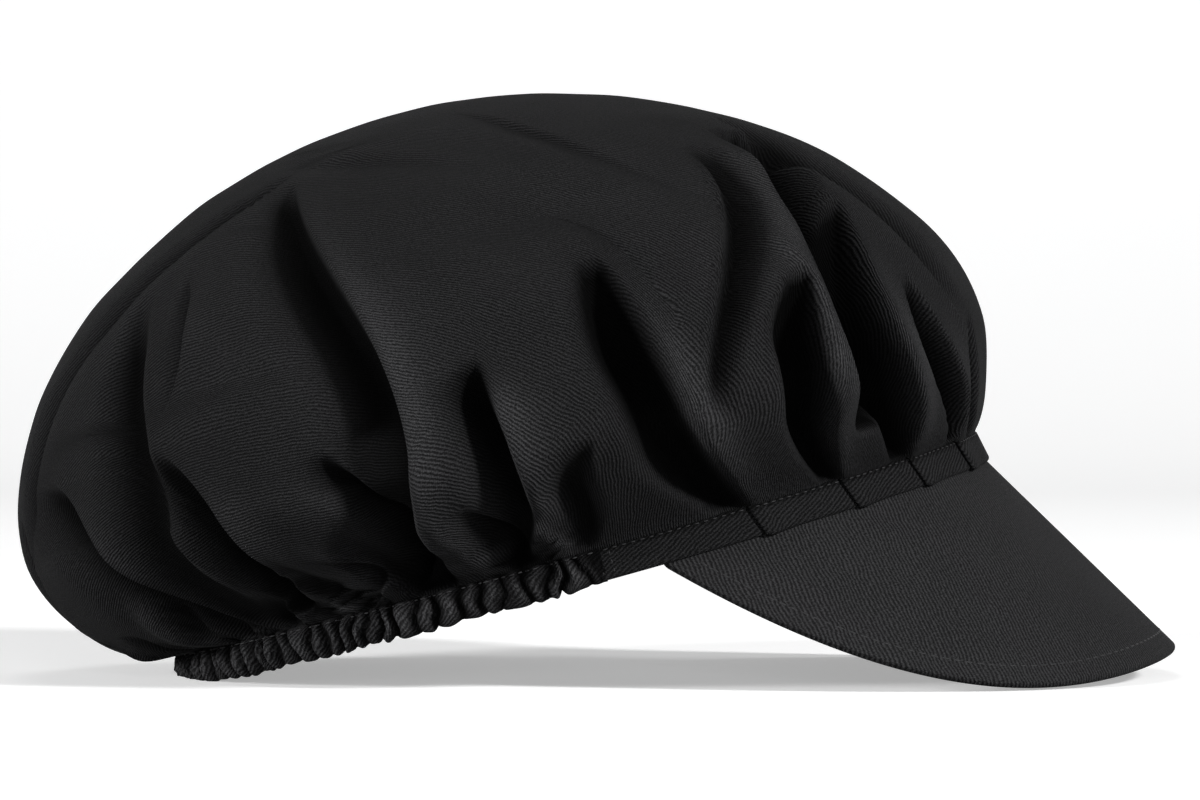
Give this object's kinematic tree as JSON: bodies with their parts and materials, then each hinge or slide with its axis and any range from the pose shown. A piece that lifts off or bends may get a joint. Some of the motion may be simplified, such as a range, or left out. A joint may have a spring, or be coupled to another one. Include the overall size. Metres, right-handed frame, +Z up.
{
  "type": "chef hat, a gathered catering cap with a peak",
  "caption": "Soft round catering cap: a puffed cloth crown gathered on elastic at the back and pleated into a hem at the front, with a stiff curved peak, lying on its rim.",
  "frame": {"origin": "on the table under the middle of the cap's box", "axes": "+X to the front of the cap, where the peak is; +Y to the wearer's left; +Z up from the table it lies on"},
  "size_m": [0.2868, 0.2224, 0.1433],
  "materials": {
    "cap_cloth": "black polyester and cotton twill, matt with a faint sheen on the folds",
    "peak_cloth": "the same black twill drawn flat over a stiff board"
  },
  "bodies": {
    "root": {"crown": "cap_cloth", "front_band": "cap_cloth", "back_casing": "cap_cloth", "peak": "peak_cloth"}
  },
  "joints": []
}
